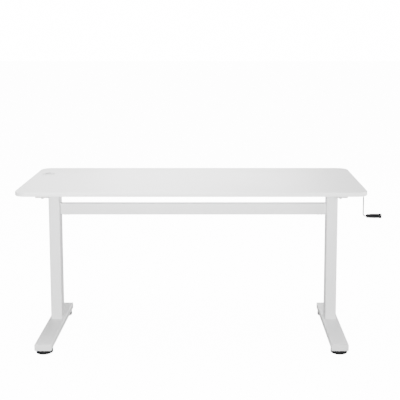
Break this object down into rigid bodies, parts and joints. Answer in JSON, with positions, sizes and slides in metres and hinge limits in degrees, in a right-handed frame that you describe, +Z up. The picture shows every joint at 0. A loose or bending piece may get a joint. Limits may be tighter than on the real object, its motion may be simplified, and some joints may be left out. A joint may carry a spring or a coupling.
{
  "type": "height adjustable standing desk",
  "caption": "Sit-stand desk with a rounded white tabletop on two telescoping rectangular legs with T-shaped feet, a crossbar and a side crank with a black grip.",
  "frame": {"origin": "on the floor, midway between the two legs and under the middle of the tabletop", "axes": "+X to the user's right, towards the crank; +Y away from the user, towards the rear edge; +Z up"},
  "size_m": [1.6265, 0.6, 0.7192],
  "materials": {
    "frame_paint": "satin light grey-white powder coat",
    "board": "satin white laminate on chipboard",
    "white_plastic": "satin",
    "black_plastic": "satin",
    "black_steel": "black oxide",
    "grey_plastic": "satin",
    "bright_steel": "zinc plated",
    "zinc": "die cast",
    "dark_steel": "dark plated",
    "brass": "turned"
  },
  "bodies": {
    "base": {"foot_beam_left": "frame_paint", "foot_beam_right": "frame_paint", "foot_cap_front_left": "white_plastic", "foot_cap_rear_left": "white_plastic", "foot_cap_front_right": "white_plastic", "foot_cap_rear_right": "white_plastic", "foot_bolt_front_left": "dark_steel", "foot_bolt_rear_left": "dark_steel", "foot_bolt_front_right": "dark_steel", "foot_bolt_rear_right": "dark_steel", "outer_column_left": "frame_paint", "outer_column_right": "frame_paint", "nut_post_left": "dark_steel", "nut_post_right": "dark_steel", "screw_nut_left": "brass", "screw_nut_right": "brass", "glide_sleeve_left": "grey_plastic", "glide_sleeve_right": "grey_plastic", "crossbar": "frame_paint", "crossbar_bracket_left": "frame_paint", "crossbar_bracket_right": "frame_paint", "crossbar_bolt_outer_left": "dark_steel", "crossbar_bolt_inner_left": "dark_steel", "crossbar_bolt_outer_right": "dark_steel", "crossbar_bolt_inner_right": "dark_steel"},
    "lift": {"tabletop": "board", "grommet_ring": "white_plastic", "support_arm_left": "frame_paint", "support_arm_right": "frame_paint", "arm_screw_front_left": "black_steel", "arm_screw_rear_left": "black_steel", "arm_screw_front_right": "black_steel", "arm_screw_rear_right": "black_steel", "inner_column_left": "frame_paint", "inner_column_right": "frame_paint", "inner_glide_left": "grey_plastic", "inner_glide_right": "grey_plastic", "gear_carrier_left": "zinc", "gear_carrier_right": "zinc", "rod_bushing_inner_left": "grey_plastic", "rod_bushing_inner_right": "grey_plastic", "rod_bushing_outer_right": "grey_plastic"},
    "crank": {"crank_rod": "dark_steel", "cross_rod": "dark_steel", "rod_gear_left": "dark_steel", "rod_gear_right": "dark_steel"},
    "grip": {"crank_grip": "black_plastic"},
    "screw_left": {"lead_screw_left": "bright_steel", "screw_gear_left": "dark_steel"},
    "screw_right": {"lead_screw_right": "bright_steel", "screw_gear_right": "dark_steel"},
    "grommet_cap": {"grommet_cap": "white_plastic"},
    "stud_front_left": {"levelling_stud_front_left": "bright_steel"},
    "pad_front_left": {"levelling_pad_front_left": "black_plastic"},
    "stud_rear_left": {"levelling_stud_rear_left": "bright_steel"},
    "pad_rear_left": {"levelling_pad_rear_left": "black_plastic"},
    "stud_front_right": {"levelling_stud_front_right": "bright_steel"},
    "pad_front_right": {"levelling_pad_front_right": "black_plastic"},
    "stud_rear_right": {"levelling_stud_rear_right": "bright_steel"},
    "pad_rear_right": {"levelling_pad_rear_right": "black_plastic"}
  },
  "joints": [
    {"name": "crank_turn", "type": "hinge", "parent": "lift", "child": "crank", "pos_m": [0, 0.05, 0.656], "axis": [-1, 0, 0], "range_deg": [0, 21600]},
    {"name": "desk_lift", "type": "slide", "parent": "base", "child": "lift", "axis": [0, 0, 1], "range_m": [0, 0.48]},
    {"name": "screw_left_turn", "type": "hinge", "parent": "lift", "child": "screw_left", "pos_m": [-0.6425, 0.05, 0.35], "axis": [0, 0, 1], "range_deg": [0, 21600]},
    {"name": "screw_right_turn", "type": "hinge", "parent": "lift", "child": "screw_right", "pos_m": [0.6425, 0.05, 0.35], "axis": [0, 0, 1], "range_deg": [0, 21600]},
    {"name": "grip_spin", "type": "hinge", "parent": "crank", "child": "grip", "pos_m": [0.8405, 0.05, 0.534], "axis": [1, 0, 0], "continuous": true},
    {"name": "grommet_cap_turn", "type": "hinge", "parent": "lift", "child": "grommet_cap", "pos_m": [-0.686, 0.13, 0.718], "axis": [0, 0, 1], "continuous": true},
    {"name": "pad_front_left_turn", "type": "hinge", "parent": "stud_front_left", "child": "pad_front_left", "pos_m": [-0.6425, -0.247, 0.009], "axis": [0, 0, -1], "range_deg": [0, 2880]},
    {"name": "stud_front_left_slide", "type": "slide", "parent": "base", "child": "stud_front_left", "axis": [0, 0, -1], "range_m": [0, 0.01]},
    {"name": "pad_rear_left_turn", "type": "hinge", "parent": "stud_rear_left", "child": "pad_rear_left", "pos_m": [-0.6425, 0.21, 0.009], "axis": [0, 0, -1], "range_deg": [0, 2880]},
    {"name": "stud_rear_left_slide", "type": "slide", "parent": "base", "child": "stud_rear_left", "axis": [0, 0, -1], "range_m": [0, 0.01]},
    {"name": "pad_front_right_turn", "type": "hinge", "parent": "stud_front_right", "child": "pad_front_right", "pos_m": [0.6425, -0.247, 0.009], "axis": [0, 0, -1], "range_deg": [0, 2880]},
    {"name": "stud_front_right_slide", "type": "slide", "parent": "base", "child": "stud_front_right", "axis": [0, 0, -1], "range_m": [0, 0.01]},
    {"name": "pad_rear_right_turn", "type": "hinge", "parent": "stud_rear_right", "child": "pad_rear_right", "pos_m": [0.6425, 0.21, 0.009], "axis": [0, 0, -1], "range_deg": [0, 2880]},
    {"name": "stud_rear_right_slide", "type": "slide", "parent": "base", "child": "stud_rear_right", "axis": [0, 0, -1], "range_m": [0, 0.01]}
  ],
  "couplings": [
    {"joint": "crank_turn", "follows": "desk_lift", "rad_per_m": 785.4},
    {"joint": "screw_left_turn", "follows": "desk_lift", "rad_per_m": 785.4},
    {"joint": "screw_right_turn", "follows": "desk_lift", "rad_per_m": 785.4},
    {"joint": "pad_front_left_turn", "follows": "stud_front_left_slide", "rad_per_m": 5026.5},
    {"joint": "pad_rear_left_turn", "follows": "stud_rear_left_slide", "rad_per_m": 5026.5},
    {"joint": "pad_front_right_turn", "follows": "stud_front_right_slide", "rad_per_m": 5026.5},
    {"joint": "pad_rear_right_turn", "follows": "stud_rear_right_slide", "rad_per_m": 5026.5}
  ]
}
